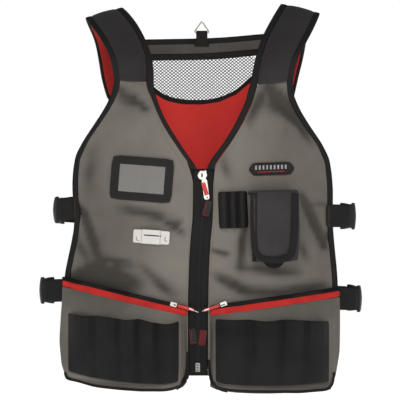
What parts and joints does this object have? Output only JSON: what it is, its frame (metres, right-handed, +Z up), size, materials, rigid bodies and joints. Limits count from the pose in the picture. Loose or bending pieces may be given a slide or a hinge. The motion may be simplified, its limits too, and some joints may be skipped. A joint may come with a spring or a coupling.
{
  "type": "utility work vest, worn form",
  "caption": "Grey zip-front work vest with padded black shoulder straps, net back yoke, slanted lower pockets with tool panels, phone pouch, ID window and buckled side straps.",
  "frame": {"origin": "middle of the shoulders at the height where the padded straps rest on the wearer", "axes": "+Z up, -Y towards the front (the zip), +X towards the wearer's left"},
  "size_m": [0.5487, 0.2774, 0.6555],
  "materials": {
    "grey_polyester": "matte plain weave",
    "charcoal_padding": "matte padded",
    "black_tape": "matte woven tape",
    "red_lining": "smooth",
    "black_net": "open knitted net",
    "black_plastic": "satin",
    "bright_metal": "polished",
    "red_trim": "ribbed tape",
    "frame_plastic": "satin",
    "window_film": "clear film over cloth"
  },
  "bodies": {
    "root": {"front_panel_right": "grey_polyester", "front_panel_left": "grey_polyester", "back_panel": "grey_polyester", "back_yoke": "grey_polyester", "pocket_right": "grey_polyester", "pocket_left": "grey_polyester", "shoulder_pad_right": "charcoal_padding", "shoulder_pad_left": "charcoal_padding", "pouch_flap": "charcoal_padding", "neck_binding_right": "black_tape", "side_binding_right": "black_tape", "neck_binding_left": "black_tape", "side_binding_left": "black_tape", "back_binding": "black_tape", "yoke_binding": "black_tape", "net_top_tape": "black_tape", "net_foot_binding": "black_tape", "zip_tape_right": "black_tape", "zip_tape_left": "black_tape", "pocket_zip_right": "black_tape", "tool_pocket_right": "black_tape", "pocket_zip_left": "black_tape", "tool_pocket_left": "black_tape", "pocket_tag_right": "black_tape", "pocket_tag_left": "black_tape", "badge": "black_tape", "elastic_band": "black_tape", "pouch_body": "black_tape", "strap_front_upper_right": "black_tape", "strap_back_upper_right": "black_tape", "strap_front_lower_right": "black_tape", "strap_back_lower_right": "black_tape", "strap_front_upper_left": "black_tape", "strap_back_upper_left": "black_tape", "strap_front_lower_left": "black_tape", "strap_back_lower_left": "black_tape", "hang_tab": "black_tape", "strap_lining_right": "red_lining", "strap_lining_left": "red_lining", "back_lining": "red_lining", "back_net": "black_net", "zip_chain": "black_plastic", "buckle_upper_right": "black_plastic", "buckle_lower_right": "black_plastic", "buckle_upper_left": "black_plastic", "buckle_lower_left": "black_plastic", "zip_retainer": "bright_metal", "zip_slider": "bright_metal", "pocket_slider_right": "bright_metal", "pocket_slider_left": "bright_metal", "tool_clip": "bright_metal", "pocket_trim_right": "red_trim", "pocket_trim_left": "red_trim", "pocket_pull_right": "red_trim", "pocket_pull_left": "red_trim", "id_frame": "frame_plastic", "id_window": "window_film"},
    "pull": {"zip_pull": "bright_metal", "zip_pull_tag": "black_tape"},
    "ring": {"hang_ring": "bright_metal"}
  },
  "joints": [
    {"name": "zip_pull_hinge", "type": "hinge", "parent": "root", "child": "pull", "pos_m": [0.00342, -0.12363, -0.27162], "axis": [-0.9902, -0.0107, -0.1392], "range_deg": [0, 150]},
    {"name": "hang_ring_hinge", "type": "hinge", "parent": "root", "child": "ring", "pos_m": [0.00142, 0.09357, -0.02653], "axis": [1, 0, 0], "range_deg": [-100, 100]}
  ]
}
